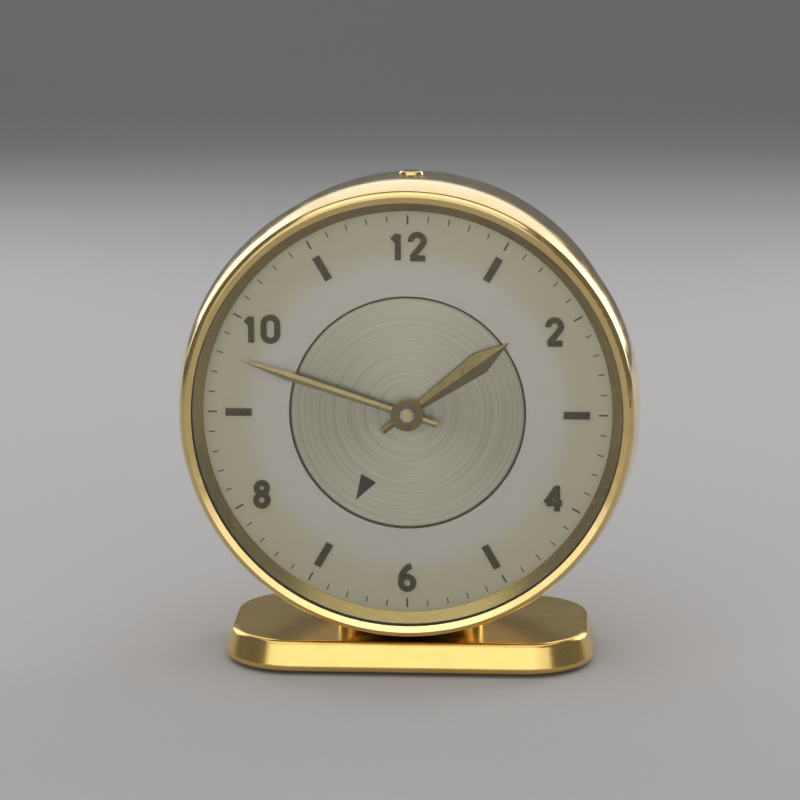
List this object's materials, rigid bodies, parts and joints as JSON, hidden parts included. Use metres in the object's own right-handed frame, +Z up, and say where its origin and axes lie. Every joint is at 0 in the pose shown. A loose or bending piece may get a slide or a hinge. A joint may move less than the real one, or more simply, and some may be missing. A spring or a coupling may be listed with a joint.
{
  "type": "pendulette alarm clock",
  "caption": "Round polished brass alarm desk clock on a flat rounded foot, with a silvered dial, gilt numerals, a central alarm disc and keys and knobs at the back.",
  "frame": {"origin": "on the table under the clock, at the centre of its footprint box", "axes": "+Z up, the dial faces -Y, +X to the right as the dial is read"},
  "size_m": [0.075, 0.0422, 0.0809],
  "materials": {
    "polished_brass": "polished",
    "gilt": "satin gilt",
    "movement_brass": "fine-grained",
    "steel": "polished steel",
    "silvered_dial": "satin silvered",
    "crystal_glass": "clear flat glass",
    "gasket_rubber": "matte",
    "felt": "green felt"
  },
  "bodies": {
    "case": {"base_plate": "polished_brass", "base_felt": "felt", "base_saddle": "polished_brass", "saddle_screws": "steel", "case_body": "polished_brass", "bezel": "polished_brass", "crystal": "crystal_glass", "crystal_gasket": "gasket_rubber", "rehaut_ring": "polished_brass", "dial_plate": "silvered_dial", "hour_markers": "gilt", "movement_ring": "movement_brass", "front_plate": "movement_brass", "back_plate": "movement_brass", "plate_pillars": "movement_brass", "movement_screws": "steel", "hairspring": "steel", "balance_cock": "movement_brass", "click_springs": "steel", "gong_stud": "steel", "stop_spring": "steel", "back_cover": "polished_brass", "back_cover_screws": "steel"},
    "minute_hand_group": {"cannon_pinion": "steel", "minute_hand": "gilt"},
    "hour_hand_group": {"hour_wheel": "movement_brass", "hour_hand": "gilt"},
    "minute_wheel_group": {"minute_wheel": "movement_brass"},
    "time_set_group": {"time_set_arbor": "steel", "time_set_knob": "polished_brass"},
    "alarm_disc_group": {"alarm_disc": "silvered_dial", "alarm_wheel": "movement_brass"},
    "alarm_set_group": {"alarm_set_arbor": "steel", "alarm_set_knob": "polished_brass"},
    "escape_group": {"escape_wheel": "steel"},
    "fourth_group": {"fourth_wheel": "movement_brass"},
    "third_group": {"third_wheel": "movement_brass"},
    "centre_group": {"centre_wheel": "movement_brass"},
    "intermediate_group": {"intermediate_wheel": "movement_brass"},
    "barrel_group": {"barrel": "movement_brass", "barrel_cover": "movement_brass", "mainspring": "steel"},
    "winding_group": {"barrel_arbor": "steel", "ratchet_wheel": "steel", "winding_key": "polished_brass"},
    "alarm_barrel_group": {"alarm_barrel": "movement_brass", "alarm_barrel_cover": "movement_brass", "alarm_mainspring": "steel"},
    "alarm_winding_group": {"alarm_barrel_arbor": "steel", "alarm_ratchet_wheel": "steel", "alarm_key": "polished_brass"},
    "strike_group": {"strike_wheel": "steel"},
    "hammer_group": {"hammer": "steel"},
    "lever_group": {"pallet_lever": "steel"},
    "balance_group": {"balance_wheel": "movement_brass", "balance_staff": "steel"},
    "time_click_group": {"time_click": "steel"},
    "alarm_click_group": {"alarm_click": "steel"},
    "stop_button_group": {"stop_button": "polished_brass"},
    "regulator_group": {"regulator_index": "steel"}
  },
  "joints": [
    {"name": "minute_hand_turn", "type": "hinge", "parent": "case", "child": "minute_hand_group", "pos_m": [0, 0, 0.0433], "axis": [0, 1, 0], "continuous": true},
    {"name": "hour_hand_turn", "type": "hinge", "parent": "case", "child": "hour_hand_group", "pos_m": [0, 0, 0.0433], "axis": [0, 1, 0], "continuous": true},
    {"name": "minute_wheel_turn", "type": "hinge", "parent": "case", "child": "minute_wheel_group", "pos_m": [-0.00344, 0, 0.04822], "axis": [0, 1, 0], "continuous": true},
    {"name": "time_set_turn", "type": "hinge", "parent": "case", "child": "time_set_group", "pos_m": [-0.00688, 0, 0.05313], "axis": [0, 1, 0], "continuous": true},
    {"name": "alarm_disc_turn", "type": "hinge", "parent": "case", "child": "alarm_disc_group", "pos_m": [0, 0, 0.0433], "axis": [0, 1, 0], "continuous": true},
    {"name": "alarm_set_turn", "type": "hinge", "parent": "case", "child": "alarm_set_group", "pos_m": [0.01136, 0, 0.04429], "axis": [0, 1, 0], "continuous": true},
    {"name": "escape_turn", "type": "hinge", "parent": "case", "child": "escape_group", "pos_m": [0.01093, 0, 0.06411], "axis": [0, 1, 0], "continuous": true},
    {"name": "fourth_turn", "type": "hinge", "parent": "case", "child": "fourth_group", "pos_m": [0.00243, 0, 0.06183], "axis": [0, 1, 0], "continuous": true},
    {"name": "third_turn", "type": "hinge", "parent": "case", "child": "third_group", "pos_m": [0.00562, 0, 0.05304], "axis": [0, 1, 0], "continuous": true},
    {"name": "centre_turn", "type": "hinge", "parent": "case", "child": "centre_group", "pos_m": [0, 0, 0.0433], "axis": [0, 1, 0], "continuous": true},
    {"name": "intermediate_turn", "type": "hinge", "parent": "case", "child": "intermediate_group", "pos_m": [-0.00475, 0, 0.03163], "axis": [0, 1, 0], "continuous": true},
    {"name": "barrel_turn", "type": "hinge", "parent": "case", "child": "barrel_group", "pos_m": [-0.01656, 0, 0.04038], "axis": [0, 1, 0], "continuous": true},
    {"name": "alarm_barrel_turn", "type": "hinge", "parent": "case", "child": "alarm_barrel_group", "pos_m": [0.01299, 0, 0.0324], "axis": [0, 1, 0], "continuous": true},
    {"name": "strike_turn", "type": "hinge", "parent": "case", "child": "strike_group", "pos_m": [0.0094, 0, 0.02253], "axis": [0, 1, 0], "continuous": true},
    {"name": "time_winding", "type": "hinge", "parent": "case", "child": "winding_group", "pos_m": [-0.01656, 0, 0.04038], "axis": [0, -1, 0], "range_deg": [0, 1890], "deforming": ["mainspring"]},
    {"name": "alarm_winding", "type": "hinge", "parent": "case", "child": "alarm_winding_group", "pos_m": [0.01299, 0, 0.0324], "axis": [0, -1, 0], "range_deg": [0, 1440], "deforming": ["alarm_mainspring"]},
    {"name": "hammer_swing", "type": "hinge", "parent": "case", "child": "hammer_group", "pos_m": [0.00448, 0, 0.02166], "axis": [0, 1, 0], "range_deg": [-2, 8]},
    {"name": "lever_swing", "type": "hinge", "parent": "case", "child": "lever_group", "pos_m": [0.01479, 0, 0.06063], "axis": [0, 1, 0], "range_deg": [-4, 4]},
    {"name": "balance_swing", "type": "hinge", "parent": "case", "child": "balance_group", "pos_m": [0.01992, 0, 0.05601], "axis": [0, 1, 0], "range_deg": [-270, 270], "deforming": ["hairspring"]},
    {"name": "time_click_lift", "type": "hinge", "parent": "case", "child": "time_click_group", "pos_m": [-0.02495, 0, 0.03945], "axis": [0, -1, 0], "range_deg": [0, 8], "stiffness_Nm_per_rad": 0.002, "deforming": ["click_springs"]},
    {"name": "alarm_click_lift", "type": "hinge", "parent": "case", "child": "alarm_click_group", "pos_m": [0.01499, 0, 0.0406], "axis": [0, -1, 0], "range_deg": [0, 8], "stiffness_Nm_per_rad": 0.002, "deforming": ["click_springs"]},
    {"name": "stop_button_press", "type": "slide", "parent": "case", "child": "stop_button_group", "axis": [0, 0, -1], "range_m": [0, 0.001], "stiffness_N_per_m": 400, "deforming": ["stop_spring"]},
    {"name": "regulator_adjust", "type": "hinge", "parent": "case", "child": "regulator_group", "pos_m": [0.01992, 0, 0.05601], "axis": [0, 1, 0], "range_deg": [-20, 20]}
  ],
  "couplings": [
    {"joint": "minute_wheel_turn", "follows": "minute_hand_turn", "ratio": -0.33333},
    {"joint": "hour_hand_turn", "follows": "minute_hand_turn", "ratio": 0.083333},
    {"joint": "time_set_turn", "follows": "minute_hand_turn", "ratio": 1},
    {"joint": "alarm_set_turn", "follows": "alarm_disc_turn", "ratio": -5.3333},
    {"joint": "fourth_turn", "follows": "escape_turn", "ratio": -0.1},
    {"joint": "third_turn", "follows": "escape_turn", "ratio": 0.013333},
    {"joint": "centre_turn", "follows": "escape_turn", "ratio": -0.0016667},
    {"joint": "intermediate_turn", "follows": "escape_turn", "ratio": 0.00027778},
    {"joint": "barrel_turn", "follows": "escape_turn", "ratio": -0.000046296},
    {"joint": "strike_turn", "follows": "alarm_barrel_turn", "ratio": -6}
  ]
}
